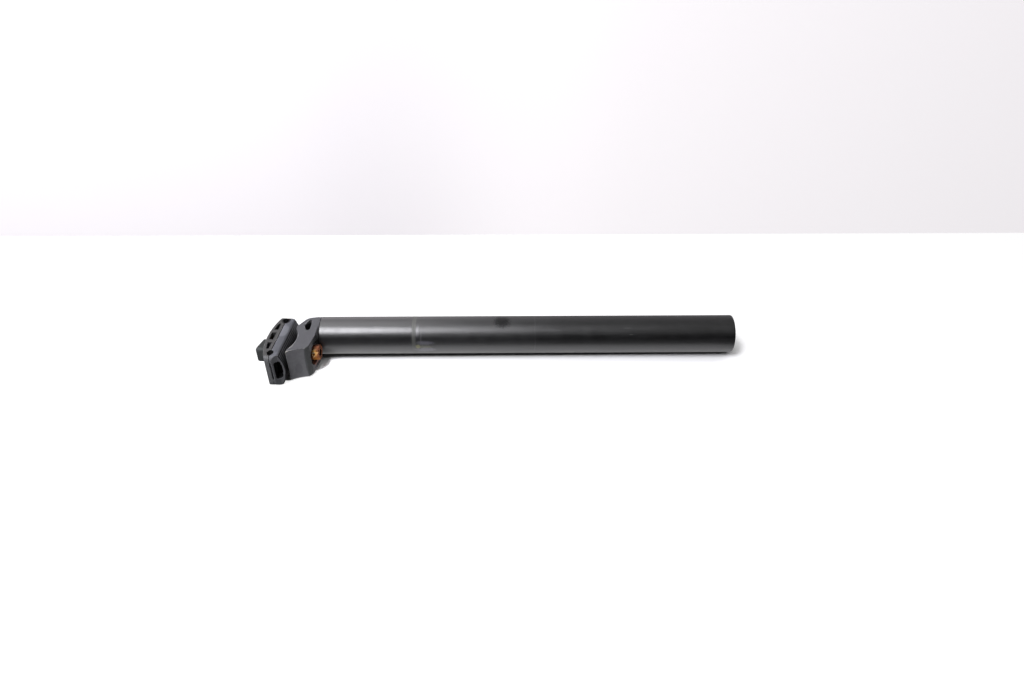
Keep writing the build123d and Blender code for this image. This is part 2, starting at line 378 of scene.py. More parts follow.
castShared = {
    "mottle": {"size": 0.006, "detail": 6, "rough": 0.65}, "speck": {"size": 0.0009, "detail": 3},
    "patchy": (0.3, 0.7, -0.28, 0.2), "rubbed": (0.25, 0.75), "rubbedShare": 0.7, "rubbedRough": 0.1,
    "shadeBy": 0.72, "shadeShare": (0.3, 0.7, 0.0, 0.5), "roughSpread": (-0.04, 0.08),
    "blotEdge": (0.35, 0.15), "lipEdge": (0.35, 0.3), "lip": (0.05, 0.5),
    # painted shade: near black in creases, where the edge value is below zero
    "hollow": (-0.15, -0.75), "creaseShadeShare": 0.75, "creaseShadeColour": (0.012, 0.011, 0.01),
    # painted shade: near black wherever the mesh's shade value says
    "paintedShadeShare": 0.96, "paintedShadeColour": (0.005, 0.005, 0.005),
    "mottleBump": 0.8, "bump": (0.00012, 0.35),
}

castFinish = {
    "head": {
        "base": (0.165, 0.165, 0.172), "worn": (0.21, 0.21, 0.215), "rough": 0.62, "specular": 0.14,
        "lips": [
            {"at": (-18.6, -36.0, 14.4), "reach": (3.0, 8.0, 2.0), "colour": (0.17, 0.168, 0.164)},
            # paler at the cradle's near tip: a worn edge with a painted highlight
            {"at": (-19.6, -42.2, 13.0), "reach": (2.0, 1.6, 2.6), "colour": (0.28, 0.27, 0.245)},
        ],
        "blots": [
            # painted shade: darker on the top faces, which the lamp overhead lights most
            {"at": (-9.0, -20.0, 17.6), "reach": (60.0, 90.0, 3.8),
             "colour": (0.062, 0.062, 0.067), "share": 0.95},
            # painted shade on the face under the neck, which faces away from the lamp
            {"at": (0.2, -24.5, 0.0), "reach": (2.6, 13.0, 22.0),
             "colour": (0.02, 0.02, 0.023), "share": 0.85},
            # painted light: paler on the side of the neck, up to the tube
            {"at": (-2.0, -9.5, 8.0), "reach": (3.2, 4.6, 6.2),
             "colour": (0.125, 0.125, 0.13), "share": 0.9},
            {"at": (0.0, 0.0, 0.0), "reach": (0.5, 40.0, 40.0),
             "colour": (0.015, 0.015, 0.016), "share": 0.8},
            # painted shade inside the teardrop recesses, above and below
            {"at": (-9.2, -4.8, 8.6), "reach": (5.6, 9.4, 5.0),
             "colour": (0.012, 0.012, 0.014), "share": 0.95},
            {"at": (-9.2, -4.8, -8.6), "reach": (5.6, 9.4, 5.0),
             "colour": (0.012, 0.012, 0.014), "share": 0.95},
            {"at": (-13.0, -39.4, -5.0), "reach": (3.0, 3.0, 5.0),
             "colour": (0.09, 0.09, 0.095), "share": 0.4},
            {"at": (-5.0, -36.0, 0.0), "reach": (2.6, 6.0, 16.0),
             "colour": (0.07, 0.075, 0.072), "share": 0.75},
            # rust-brown in the bolt seat, made bright enough to lift its shadow: a rust stain with painted
            # light
            {"at": (-2.4, -24.0, -9.2), "reach": (3.4, 5.0, 1.5),
             "colour": (0.3, 0.17, 0.14), "share": 0.85},
            {"at": (-2.0, -25.0, -11.7), "reach": (2.6, 5.0, 1.0),
             "colour": (0.04, 0.03, 0.03), "share": 0.7},
        ],
    },
    "lower": {
        "base": (0.12, 0.122, 0.128), "worn": (0.2, 0.2, 0.21), "rough": 0.6, "specular": 0.08,
        "lips": [],
        "blots": [
            # painted shade: darker on the top faces, which the lamp overhead lights most
            {"at": (-27.0, -21.5, 17.8), "reach": (60.0, 90.0, 3.4),
             "colour": (0.086, 0.088, 0.099), "share": 0.95},
            # painted highlight on the far part of the top strip
            {"at": (-27.5, -14.0, 15.0), "reach": (4.0, 7.8, 2.5),
             "colour": (0.135, 0.137, 0.15), "share": 0.9},
            {"at": (-27.9, 2.6, 15.0), "reach": (1.1, 1.3, 1.3),
             "colour": (0.3, 0.012, 0.012), "share": 0.9},
        ],
    },
    "upper": {
        "base": (0.132, 0.134, 0.136), "worn": (0.17, 0.17, 0.172), "rough": 0.62, "specular": 0.16,
        "lips": [],
        "blots": [
            # painted shade: darker on the top faces, which the lamp overhead lights most
            {"at": (-33.0, -21.5, 17.8), "reach": (60.0, 90.0, 3.4),
             "colour": (0.045, 0.044, 0.043), "share": 0.95},
            {"at": (-35.5, -21.5, 10.0), "reach": (2.6, 4.4, 5.0),
             "colour": (0.06, 0.028, 0.012), "share": 0.9},
        ],
    },
    "nut": {
        "base": (0.058, 0.062, 0.061), "worn": (0.09, 0.094, 0.09), "rough": 0.6, "specular": 0.14,
        "lips": [],
        "blots": [
            # painted shade: darker on the nut's top face, which the lamp overhead lights most
            {"at": (-44.0, -22.0, 9.6), "reach": (30.0, 30.0, 2.9),
             "colour": (0.022, 0.023, 0.022), "share": 0.95},
        ],
    },
}


def castMaterial(name, look):
    # colour: the base darkened by mottle, with blots over it, then paler where wear and mottle together are
    # high, its own tone on chosen lips, and painted shade in creases and wherever the mesh's shade value
    # says
    s = castShared
    material, tree, shader, spot = newFinish(name)
    wearAndCreaseShade, paintedShade = meshValue(tree, "edgeWearCreaseShade"), meshValue(tree, "shade")
    mottle, speck = grain(tree, spot, **s["mottle"]), grain(tree, spot, **s["speck"])
    patchy = plus(tree, wearAndCreaseShade, remap(tree, mottle, *s["patchy"]))
    rubbed = remap(tree, patchy, *s["rubbed"])
    hollow = remap(tree, wearAndCreaseShade, *s["hollow"])
    shaded = tuple(s["shadeBy"] * c for c in look["base"])
    base = blendColour(tree, remap(tree, mottle, *s["shadeShare"]), look["base"], shaded)
    for spec in look["blots"]:
        base = dab(tree, spot, base, spec, *s["blotEdge"])
    base = blendColour(tree, times(tree, rubbed, s["rubbedShare"]), base, look["worn"])
    for spec in look["lips"]:
        mask = blot(tree, spot, spec["at"], spec["reach"], *s["lipEdge"])
        base = blendColour(tree, times(tree, mask, remap(tree, patchy, *s["lip"])), base, spec["colour"])
    base = blendColour(tree, times(tree, hollow, s["creaseShadeShare"]), base, s["creaseShadeColour"])
    base = blendColour(tree, times(tree, paintedShade, s["paintedShadeShare"]), base, s["paintedShadeColour"])
    tree.links.new(base, shader.inputs["Base Color"])
    smoother, rougher = (look["rough"] + spread for spread in s["roughSpread"])
    rough = remap(tree, mottle, *noiseRange, smoother, rougher)
    rough = minus(tree, rough, times(tree, rubbed, s["rubbedRough"]))
    tree.links.new(rough, shader.inputs["Roughness"])
    shader.inputs["Specular IOR Level"].default_value = look["specular"]
    bumpOn(tree, shader, plus(tree, speck, times(tree, mottle, s["mottleBump"])), *s["bump"])
    return material


# rust on the bolt and washer: dark crust, orange grains and bare gold ones, with painted highlight and shade

rustFinish = {
    "crust": (0.07, 0.02, 0.008), "brown": (0.44, 0.16, 0.065), "orange": (0.7, 0.27, 0.055),
    "gold": (0.82, 0.5, 0.16), "pale": (0.95, 0.84, 0.62), "rimBrown": (0.085, 0.022, 0.007),
    # the socket shade and shank brown colour: painted shade in the socket, a darker brown up the shank
    "socketShadeShankBrown": (0.016, 0.008, 0.006), "specular": 0.15, "bump": (0.0005, 0.7),
    "wide": {"size": 0.0026, "detail": 5, "rough": 0.65, "warp": 0.4},
    "small": {"size": 0.0013, "detail": 4, "rough": 0.6},
    "brownFrom": (0.36, 0.62), "orangeFrom": (0.3, 0.55), "goldFrom": (0.4, 0.56), "paleFrom": (0.54, 0.62),
    "bareWarmth": 0.8, "rimShare": 0.85, "goldMetal": 0.5, "goldRough": (0.75, 0.36),
    # bare gold and pale grains where the head faces the lamp: bare metal with a painted highlight
    "bareAndHighlight": {"at": (-1.8, -28.6, 3.2), "reach": (2.7, 3.4, 3.6), "soft": 0.45},
    "foot": {"at": (-1.5, -28.8, -3.6), "reach": (3.6, 3.0, 3.0), "soft": 0.5},
    "rim": {"at": (-5.8, -23.2, 0.0), "reach": (2.7, 20.0, 20.0), "soft": 0.25},
    "blots": [
        {"at": (0.5, -25.5, 6.6), "reach": (5.0, 3.4, 2.0), "colour": (0.2, 0.07, 0.035), "share": 0.85},
        {"at": (-1.0, -19.5, 7.0), "reach": (6.0, 4.6, 2.2), "colour": (0.03, 0.01, 0.008), "share": 0.85},
        # painted shade on the socket end face, which faces away from the lamp
        {"at": (3.4, -23.5, 0.0), "reach": (1.2, 8.0, 8.0), "colour": (0.12, 0.045, 0.03), "share": 0.6},
    ],
}


def rustMaterial(name, brightShare):
    # colour: crust to brown by the wide grain, then orange, gold and pale grains inside two blots as far as
    # the bright share goes, the dark rim, the blots, and painted shade in the socket and darker brown up the
    # shank
    look = rustFinish
    material, tree, shader, spot = newFinish(name)
    wide, small = grain(tree, spot, **look["wide"]), grain(tree, spot, **look["small"])
    bareAndHighlight, foot, rim = (
        blot(tree, spot, look[kind]["at"], look[kind]["reach"], soft=look[kind]["soft"])
        for kind in ("bareAndHighlight", "foot", "rim"))
    bareAndHighlight, foot = times(tree, bareAndHighlight, brightShare), times(tree, foot, brightShare)
    colour = blendColour(tree, remap(tree, wide, *look["brownFrom"]), look["crust"], look["brown"])
    warm = calc(tree, "MAXIMUM", times(tree, bareAndHighlight, look["bareWarmth"]), foot)
    warm = times(tree, warm, remap(tree, wide, *look["orangeFrom"]))
    colour = blendColour(tree, warm, colour, look["orange"])
    gold = times(tree, bareAndHighlight, remap(tree, small, *look["goldFrom"]))
    colour = blendColour(tree, gold, colour, look["gold"])
    pale = times(tree, bareAndHighlight, remap(tree, small, *look["paleFrom"]))
    colour = blendColour(tree, pale, colour, look["pale"])
    colour = blendColour(tree, times(tree, rim, look["rimShare"]), colour, look["rimBrown"])
    for spec in look["blots"]:
        colour = dab(tree, spot, colour, spec)
    colour = blendColour(tree, meshValue(tree, "shade"), colour, look["socketShadeShankBrown"])
    tree.links.new(colour, shader.inputs["Base Color"])
    tree.links.new(times(tree, gold, look["goldMetal"]), shader.inputs["Metallic"])
    tree.links.new(remap(tree, gold, 0, 1, *look["goldRough"]), shader.inputs["Roughness"])
    shader.inputs["Specular IOR Level"].default_value = look["specular"]
    bumpOn(tree, shader, plus(tree, wide, small), *look["bump"])
    return material


# post tube

tubeSpec = {
    "length": 348.0, "outer": 15.8, "bore": 13.3, "endRound": 1.0, "boreBreak": 0.4, "collarBreak": 0.35,
    "collarGap": 0.02, "boreFrom": 4.0, "around": 240, "outerRows": 60, "lipRows": 9, "boreRows": 30,
    "sharp": 30,
}


def makeTube():
    # profile of x and radius carried round the tube axis: outer wall, rounded lip, bore, square collar end
    t = tubeSpec
    turn = np.linspace(0, np.pi / 2, t["lipRows"])[1:]
    lipStart = t["length"] - t["endRound"]
    x = np.concatenate([
        [t["collarGap"]], np.linspace(t["collarBreak"], lipStart, t["outerRows"]),
        lipStart + t["endRound"] * np.sin(turn),
        [t["length"], t["length"] - t["boreBreak"]],
        np.linspace(t["length"] - t["boreFrom"], t["collarGap"], t["boreRows"])])
    r = np.concatenate([
        [t["outer"] - t["collarBreak"]], np.full(t["outerRows"], t["outer"]),
        t["outer"] - t["endRound"] + t["endRound"] * np.cos(turn),
        [t["bore"] + t["boreBreak"], t["bore"]], np.full(t["boreRows"], t["bore"])])
    a = np.linspace(0, 2 * np.pi, t["around"], endpoint=False)
    rounds = np.broadcast_arrays(x[:, None], r[:, None] * np.cos(a), r[:, None] * np.sin(a))
    return gridPiece("tubeShell", np.stack(rounds, -1) * mm, True, t["sharp"])


settle(makeTube(), "post", "post_tube", tubeMaterial())


# head and clamp castings: the solids' own shapes with edges that have lost their sharpness

relaxSpec = {"pull": 0.6, "push": 0.35, "wideRounds": 6, "wearRounds": 2, "wearGain": 1.2, "quickCell": 2}

castings = {
    "headForging": {
        "node": "post_head", "body": "post", "slot": "head", "cell": 0.40, "rounds": 3, "look": "head",
    },
    "lowerJaw": {
        "node": "lower_clamp", "body": "rocker", "slot": "lower_clamp", "cell": 0.27, "rounds": 2,
        "look": "lower",
        "hollows": {
            "rail": 22.0, "railLevel": 0.9, "railReach": 3.8, "railShade": 0.9, "half": 14.8,
            "farReach": 4.7, "farShade": 0.85,
            "pocketHalf": 8.7, "pocketLevels": (-8.9, -2.4), "pocketInner": 17.0, "pocketRim": 0.45,
            "endDepths": (1.8, 5.9, 10.8), "endReaches": (28.25, 25.1, 24.2),
            "slant": (0.5, 6.0), "slantShade": 0.3, "slantEnds": (20.0, 23.0),
            "toothLevels": (6.1, 6.9), "axisLevel": 17.85, "rootReach": 28.24, "crestReach": 28.5,
            "rimReach": (27.6, 27.9), "crestFrom": (4.0, 15.0), "crestLight": 0.65,
            "farFrom": (11.0, 19.0), "farLight": 0.6,
        },
    },
    "upperJaw": {
        "node": "upper_clamp", "body": "cap", "slot": "upper_clamp", "cell": 0.27, "rounds": 3,
        "look": "upper",
        "hollows": {
            "rail": 22.0, "railLevel": -0.9, "railReach": 3.8, "railShade": 0.9, "half": 14.8,
            "farReach": 4.7, "farShade": 0.85,
            "windows": ((-12.9, 4.45, 0.95), (0.0, 5.15, 0.7), (12.9, 4.45, 0.95)), "windowFloor": 2.6,
            "archTop": 6.8, "archDrop": 0.0064, "windowInner": 3.4,
        },
    },
}


def railShade(x, y, z, h):
    # painted shade inside a rail hole, by the distance from its axis, and a little way round the far hole's
    # mouth
    fromRail = np.hypot(np.abs(x) - h["rail"], z - h["railLevel"])
    hole = (np.abs(y) < h["half"]) & (fromRail < h["railReach"])
    mouth = (x < 0) & (y > 0) & (fromRail < h["farReach"])
    return np.maximum(h["railShade"] * hole, h["farShade"] * mouth)


def windowShade(x, y, z, h):
    # painted shade inside each window: within its half width, above its floor and under an arch that drops
    # with the square of x
    mouth = (np.abs(y) > h["windowInner"]) & (z > h["windowFloor"])
    mouth &= z < h["archTop"] - h["archDrop"] * x ** 2
    return np.maximum.reduce([
        share * (mouth & (np.abs(x - centre) < half)) for centre, half, share in h["windows"]])


def rockerShade(x, y, z, h):
    # painted shade inside an end pocket, by its limits; on the teeth by the distance from the rocker's axis,
    # crests paler than roots, more so away from the middle, and all paler at the far end; a little on the
    # slanted sides, growing with depth
    low, high = h["pocketLevels"]
    face = np.interp(-z, h["endDepths"], h["endReaches"]) - h["pocketRim"]
    inside = (np.abs(y) < h["pocketHalf"]) & (z < high) & (z > low)
    inside &= (np.abs(x) < face) & (np.abs(x) > h["pocketInner"])
    reach = np.hypot(y, z - h["axisLevel"])
    crest = ramp(reach, h["rootReach"], h["crestReach"]) * ramp(np.abs(y), *h["crestFrom"])
    tooth = (1.0 - h["crestLight"] * crest) * ramp(-z, *h["toothLevels"]) * ramp(reach, *h["rimReach"])
    tooth *= 1.0 - h["farLight"] * ramp(-x, *h["farFrom"])
    slant = h["slantShade"] * ramp(-z, *h["slant"]) * (1.0 - ramp(np.abs(x), *h["slantEnds"]))
    return np.maximum.reduce([inside * 1.0, tooth, slant])


def hollowShade(points, h):
    # painted shade for each point, by its place in clamp millimetres: the darkest that its two rules give
    place = ((points / mm - clampOrigin) @ clampAxes.T).T
    ownRule = windowShade if "windows" in h else rockerShade
    return np.maximum(railShade(*place, h), ownRule(*place, h))


def readRows(items, key, width, kind):
    # one row per item, as the mesh keeps it
    rows = np.empty(len(items) * width, kind)
    items.foreach_get(key, rows)
    return rows.reshape(-1, width)


def neighbourMean(values, edges, links):
    # mean over each point's neighbours along edges
    count = len(values)
    one, other = edges.T
    total = [np.bincount(one, v[other], count) + np.bincount(other, v[one], count) for v in values.T]
    return np.stack(total, -1) / links[:, None]


def evenSkin(name, node, cell):
    # a merged copy of the solid's triangles, laid on an even grid of cells
    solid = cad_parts[node].data.copy()
    mergeClose(solid, mergeGaps["solid"])
    helper = bpy.data.objects.new("helper", solid)
    scene.collection.objects.link(helper)
    even = helper.modifiers.new("even", "REMESH")
    even.mode = "VOXEL"
    even.voxel_size = cell
    mesh = bpy.data.meshes.new_from_object(helper.evaluated_get(bpy.context.evaluated_depsgraph_get()))
    bpy.data.objects.remove(helper)
    bpy.data.meshes.remove(solid)
    mesh.name = name
    return mesh


def makeCasting(name, spec):
    # the even skin, relaxed: each round moves a point towards its neighbours' mean and part of the way back;
    # how far it stands out of a wider mean, along its normal and in cells, is kept for edge wear and painted
    # shade
    r = relaxSpec
    cell = spec["cell"] * mm * 1
    mesh = evenSkin(name, spec["node"], cell)
    points = readRows(mesh.vertices, "co", 3, np.float32).astype(float)
    edges = readRows(mesh.edges, "vertices", 2, np.int32)
    links = np.bincount(edges.ravel(), minlength=len(points)).astype(float)
    for _ in range(spec["rounds"]):
        points += r["pull"] * (neighbourMean(points, edges, links) - points)
        points -= r["push"] * (neighbourMean(points, edges, links) - points)
    mesh.vertices.foreach_set("co", points.astype(np.float32).ravel())
    mesh.update()
    normals = readRows(mesh.vertices, "normal", 3, np.float32)
    wide = points
    for _ in range(r["wideRounds"]):
        wide = neighbourMean(wide, edges, links)
    wearAndCreaseShade = ((points - wide) * normals).sum(1, keepdims=True) / cell
    for _ in range(r["wearRounds"]):
        wearAndCreaseShade = neighbourMean(wearAndCreaseShade, edges, links)
    keepValues(mesh, "edgeWearCreaseShade", np.clip(wearAndCreaseShade * r["wearGain"], -1, 1))
    if "hollows" in spec:
        keepValues(mesh, "shade", hollowShade(points, spec["hollows"]))
    return linkPiece(name, mesh)


for name, spec in castings.items():
    grey = castMaterial(name + "Grey", castFinish[spec["look"]])
    settle(makeCasting(name, spec), spec["body"], spec["node"], grey)


# nut: a rounded block with a threaded bore

nutSpec = {
    "width": 15.2, "length": 14.2, "foot": 7.5, "height": 9.7, "slope": 13.0, "corner": 2.6, "edge": 1.1,
    "footBreak": 0.3, "sideFrom": 1.0, "leastCorner": 0.5, "boreRoot": 4.5, "boreCrest": 4.01, "flare": 0.7,
    "around": 192, "sideRows": 6, "edgeRows": 8, "cornerPoints": 24, "sharp": 40,
}
threadSpec = {"pitch": 1.25, "major": 3.97, "depth": 0.62, "steep": 1.25, "flat": 0.12, "perTurn": 8}
threadStep = threadSpec["pitch"] / threadSpec["perTurn"]


def roundedLoop(halfX, halfY, corner, count):
    # evenly spaced points on a rectangle with round corners, from its dense outline by distance along it
    arc = np.linspace(0, np.pi / 2, nutSpec["cornerPoints"])
    quarter = np.arange(4)[:, None] * np.pi / 2 + arc
    x = (column([1, -1, -1, 1]) * (halfX - corner) + corner * np.cos(quarter)).ravel()
    y = (column([1, 1, -1, -1]) * (halfY - corner) + corner * np.sin(quarter)).ravel()
    x, y = np.append(x, x[0]), np.append(y, y[0])
    far = np.append(0, np.cumsum(np.hypot(np.diff(x), np.diff(y))))
    at = np.linspace(0, far[-1], count, endpoint=False)
    return np.interp(at, far, x), np.interp(at, far, y)


def threadReach(turn, z, major):
    # radius of a vee thread: the major radius less the depth times a triangle wave of height minus turn
    phase = (z / threadSpec["pitch"] - turn / (2 * np.pi)) % 1.0
    wave = np.abs(2 * phase - 1) * threadSpec["steep"] - threadSpec["flat"]
    return major - threadSpec["depth"] * np.clip(wave, 0, 1)


def makeNut():
    # rows of rounded rectangles up the side and over the rounded top edge, then in to the bore and down it;
    # each height then gains x times the slope's tangent times the cube of its share of the full height
    n = nutSpec
    top = n["foot"] + n["height"]
    edgeStart = top - n["edge"]
    turn = np.linspace(0, np.pi / 2, n["edgeRows"])[1:]
    inset = np.concatenate([[n["footBreak"], 0.0], np.zeros(n["sideRows"]), n["edge"] * (1 - np.cos(turn))])
    z = np.concatenate([
        [n["foot"], n["foot"] + n["footBreak"]],
        np.linspace(n["foot"] + n["sideFrom"], edgeStart, n["sideRows"]),
        edgeStart + n["edge"] * np.sin(turn)])
    loops = [
        roundedLoop(
            n["width"] / 2 - i, n["length"] / 2 - i, max(n["corner"] - i, n["leastCorner"]), n["around"])
        for i in inset]
    outer = np.stack([np.stack([x, y, np.full(n["around"], h)], -1) for (x, y), h in zip(loops, z)])
    angle = np.arctan2(outer[0, :, 1], outer[0, :, 0])
    boreZ = column(np.arange(top, n["foot"], -threadStep))
    flare = np.clip(n["flare"] - np.minimum(top - boreZ, boreZ - n["foot"]), 0, 1)
    reach = np.maximum(threadReach(angle, boreZ, n["boreRoot"]), n["boreCrest"] + flare)
    bore = np.stack(np.broadcast_arrays(reach * np.cos(angle), reach * np.sin(angle), boreZ), -1)
    points = np.concatenate([outer, bore])
    share = (points[..., 2] - n["foot"]) / n["height"]
    points[..., 2] += points[..., 0] * math.tan(math.radians(n["slope"])) * share ** 3
    return gridPiece("wedgeNut", toClamp(points), True, n["sharp"])


settle(makeNut(), "cap", "clamp_nut", castMaterial("nutGrey", castFinish["nut"]))


# bolt: rusty socket head, plain neck and threaded shank

boltSpec = {
    "tip": 15.227, "threadEnd": -9.5, "shoulder": -24.773, "headEnd": -32.773, "headRadius": 6.5,
    "tipRadii": (0.0, 3.1, 3.4, 3.7), "tipDrops": (0.0, 0.0, 0.3, 0.6), "threadFrom": 0.8, "runOut": 2.0,
    "underIn": 0.35, "underDown": 0.25, "sideFrom": 0.5, "headRound": 0.8,
    "ribs": 36, "ribDepth": 0.1, "ribStop": 1.2,
    "key": 3.0, "keyDepth": 4.0, "keyBreak": 0.25, "faceFrom": 0.12,
    "floorFrom": 0.9, "floorDrop": (0.03, 0.5),
    "pits": 0.16, "pitFrom": 0.5, "pitRadii": (1.8, 4.8), "pitFace": 1.0,
    "pitWide": {"size": 2.2, "seed": 4}, "pitFine": {"size": 0.9, "seed": 9}, "pitShares": (0.7, 0.3),
    "socketFrom": (0.3, 0.9), "socketReach": 1.2, "shankShade": 0.85, "shankFrom": 2.0,
    "around": 144, "neckRows": 8, "sideRows": 20, "edgeRows": 7, "faceRows": 8, "wallRows": 10,
    "floorRows": 6, "sharp": 35,
}


def makeBolt():
    # rows of radius and height from the tip's centre along the shank, over the head and down the six-sided
    # socket to its floor, carried round the bolt's axis; the head's skin is then pitted with lumps, and how
    # dark it is goes with the depth in the socket, as painted shade, and with the distance up the shank
    b = boltSpec
    major, end = threadSpec["major"], b["headEnd"]
    a = np.linspace(0, 2 * np.pi, b["around"], endpoint=False)[None, :]
    threadZ = column(np.arange(b["tip"] - b["threadFrom"], b["threadEnd"], -threadStep))
    cut = ramp(threadZ, b["threadEnd"], b["threadEnd"] + b["runOut"])
    neckZ = column(np.linspace(b["threadEnd"], b["shoulder"], b["neckRows"]))
    sideStart = b["shoulder"] - b["sideFrom"]
    sideZ = column(np.linspace(sideStart, end + b["headRound"], b["sideRows"]))
    ribbed = np.clip(np.minimum(sideStart - sideZ, sideZ - end - b["ribStop"]), 0, 1)
    ribs = b["ribDepth"] * (0.5 - 0.5 * np.cos(a * b["ribs"]))
    turn = column(np.linspace(0, np.pi / 2, b["edgeRows"])[1:])
    edgeRadius = b["headRadius"] - b["headRound"]
    inward = column(np.linspace(b["faceFrom"], 1, b["faceRows"]))
    hexR = b["key"] / np.cos((a % (np.pi / 3)) - np.pi / 6)
    floorLevel = end + b["keyDepth"]
    rows = [
        (column(b["tipRadii"]), b["tip"] - column(b["tipDrops"])),
        (major - (major - threadReach(a, threadZ, major)) * cut, threadZ),
        (major, neckZ),
        (b["headRadius"] - column([b["underIn"], 0]), b["shoulder"] - column([0, b["underDown"]])),
        (b["headRadius"] - ribs * ribbed, sideZ),
        (edgeRadius + b["headRound"] * np.cos(turn), end + b["headRound"] * (1 - np.sin(turn))),
        (inward * (hexR + b["keyBreak"]) + (1 - inward) * edgeRadius, np.full_like(inward, end)),
        (hexR, column(np.linspace(end + b["keyBreak"], floorLevel, b["wallRows"]))),
        (column(np.linspace(b["floorFrom"], 0, b["floorRows"])) * hexR,
         floorLevel + column(np.linspace(*b["floorDrop"], b["floorRows"]))),
    ]
    radius = np.concatenate([np.broadcast_to(r, (len(z), b["around"])) for r, z in rows])
    height = np.concatenate([np.broadcast_to(z, (len(z), b["around"])) for r, z in rows])
    points = np.stack([radius * np.cos(a), radius * np.sin(a), height], -1)
    onHead = ramp(b["shoulder"] - height, 0, b["pitFrom"]) * ramp(radius, *b["pitRadii"])
    wide, fine = lumps(points, **b["pitWide"]), lumps(points, **b["pitFine"])
    pit = b["pits"] * onHead * (b["pitShares"][0] * wide + b["pitShares"][1] * fine - 1.0)
    points[..., :2] *= (1 + pit / np.maximum(radius, 1.0))[..., None]
    points[..., 2] -= pit * ramp(end + b["pitFace"] - height, 0, b["pitFace"])
    socketShade = (radius < b["key"] * b["socketReach"]) & (height < b["shoulder"])
    socketShade = ramp(height - end, *b["socketFrom"]) * socketShade
    onShank = b["shankShade"] * ramp(height - b["shoulder"], 0, b["shankFrom"])
    return gridPiece("socketBolt", toClamp(points), False, b["sharp"], np.maximum(socketShade, onShank))


settle(makeBolt(), "screw", "clamp_bolt", rustMaterial("boltRust", 1.0))


# washer with a hollow face on the curved seat

washerSpec = {
    "outer": 7.7, "middle": 6.0, "bore": 4.3, "boreBreak": 0.2, "footBreak": 0.3, "seatBreak": 0.2,
    "foot": -24.753, "seatCentre": 13.977, "seatRadius": 37.17, "around": 120, "sharp": 40,
}


def makeWasher():
    # profile of radius and share of the thickness carried round the bolt's axis; the thickness goes from the
    # flat foot to a seat on a cylinder, whose height is its centre less the root of radius squared less x
    # squared
    w = washerSpec
    a = np.linspace(0, 2 * np.pi, w["around"], endpoint=False)[None, :]
    bored, out = w["bore"] + w["boreBreak"], w["outer"]
    r, up = np.array([
        (w["bore"], 0.2), (bored, 0.0), (w["middle"], 0.0), (out - w["footBreak"], 0.0),
        (out, 0.25), (out, 0.5), (out, 0.88), (out - w["seatBreak"], 1.0),
        (w["middle"], 1.0), (bored, 1.0), (w["bore"], 0.9), (w["bore"], 0.5)]).T[..., None]
    x, y = r * np.cos(a), r * np.sin(a)
    seat = w["seatCentre"] - np.sqrt(w["seatRadius"] ** 2 - x ** 2)
    z = w["foot"] + (seat - w["foot"]) * up
    return gridPiece("seatWasher", toClamp(np.stack([x, y, z], -1)), True, w["sharp"])


settle(makeWasher(), "post", "bolt_washer", rustMaterial("washerRust", 0.0))


# stage: white floor and a pale wall behind

stageSpec = {
    "floorZ": -0.0158, "wallY": 0.204, "wallTop": 0.30, "reach": 4.0,
    "tubeMiddle": 0.165, "tubeHalf": 0.165, "tubeQuiet": (0.012, 0.035),
    "headSpot": {"at": (-0.005, -0.016), "reach": 0.012, "left": 0.1},
    "jawSpot": {"at": (-0.0235, -0.0355), "reach": 0.0057, "left": 0.0},
    "spotSoft": 0.0008, "headLight": 0.65, "headFade": (0.055, 0.035), "headFront": (-0.0115, -0.016),
    "tubeEnd": 0.345, "contact": (0.0078, 0.0108), "contactShade": 0.24,
    "contactFrom": 0.12, "contactLean": 0.01, "mirrorFall": (0.08, 0.26), "mirrorLeft": 0.6,
}
floorLook = {
    "near": (0.85, 0.85, 0.85), "far": (0.15, 0.15, 0.15), "fade": (0.018, 0.062), "alongX": False,
    "lift": (0.45, 0.9), "mirror": (0.5, 0.0), "tint": (1, 1, 1),
}
wallLook = {
    "near": (0.74, 0.715, 0.73), "far": (0.42, 0.405, 0.415), "fade": (-0.1, 0.3), "alongX": True,
    "lift": (0.33, 0.69), "mirror": (0.75, 0.32), "tint": (1.0, 0.97, 0.99),
}


def stageColour(tree, x, y, faded, look):
    # near colour to far colour as it fades, times a painted contact shadow close to where the tube touches
    # the
    # floor: by the distance from the tube's line, plus what lies past its ends, plus a lean along it
    s = stageSpec
    colour = blendColour(tree, faded, look["near"], look["far"])
    leaned = times(tree, minus(tree, x, s["contactFrom"]), s["contactLean"])
    past = calc(tree, "MAXIMUM", minus(tree, x, s["tubeEnd"]), times(tree, x, -1.0))
    past = calc(tree, "MAXIMUM", past, 0.0)
    offLine = plus(tree, plus(tree, calc(tree, "ABSOLUTE", y), past), leaned)
    under = remap(tree, offLine, *s["contact"], s["contactShade"], 1.0)
    grey = addNode(tree, "ShaderNodeCombineColor", {"Red": under, "Green": under, "Blue": under})
    return blendColour(tree, 1.0, colour, grey.outputs["Color"], "MULTIPLY")


def stageGlow(tree, x, y, fromTube, faded, lift):
    # own light that the camera sees: none near the tube and little in two spots beside the head, so that the
    # shadows stay there, and at least the head light on the floor in front of the head
    s = stageSpec
    clearOf = remap(tree, fromTube, *s["tubeQuiet"])
    headLit = remap(tree, y, *s["headFront"], 0.0, s["headLight"])
    fromSpots = []
    for spec in (s["headSpot"], s["jawSpot"]):
        away = distance(tree, minus(tree, x, spec["at"][0]), minus(tree, y, spec["at"][1]))
        inner, outer = spec["reach"] - s["spotSoft"], spec["reach"] + s["spotSoft"]
        outside = remap(tree, away, inner, outer, spec["left"])
        clearOf = calc(tree, "MINIMUM", clearOf, outside)
        headLit = times(tree, headLit, outside)
        fromSpots.append(away)
    headLit = times(tree, headLit, remap(tree, fromSpots[0], *s["headFade"]))
    return calc(tree, "MAXIMUM", times(tree, clearOf, remap(tree, faded, 0, 1, *lift)), headLit)


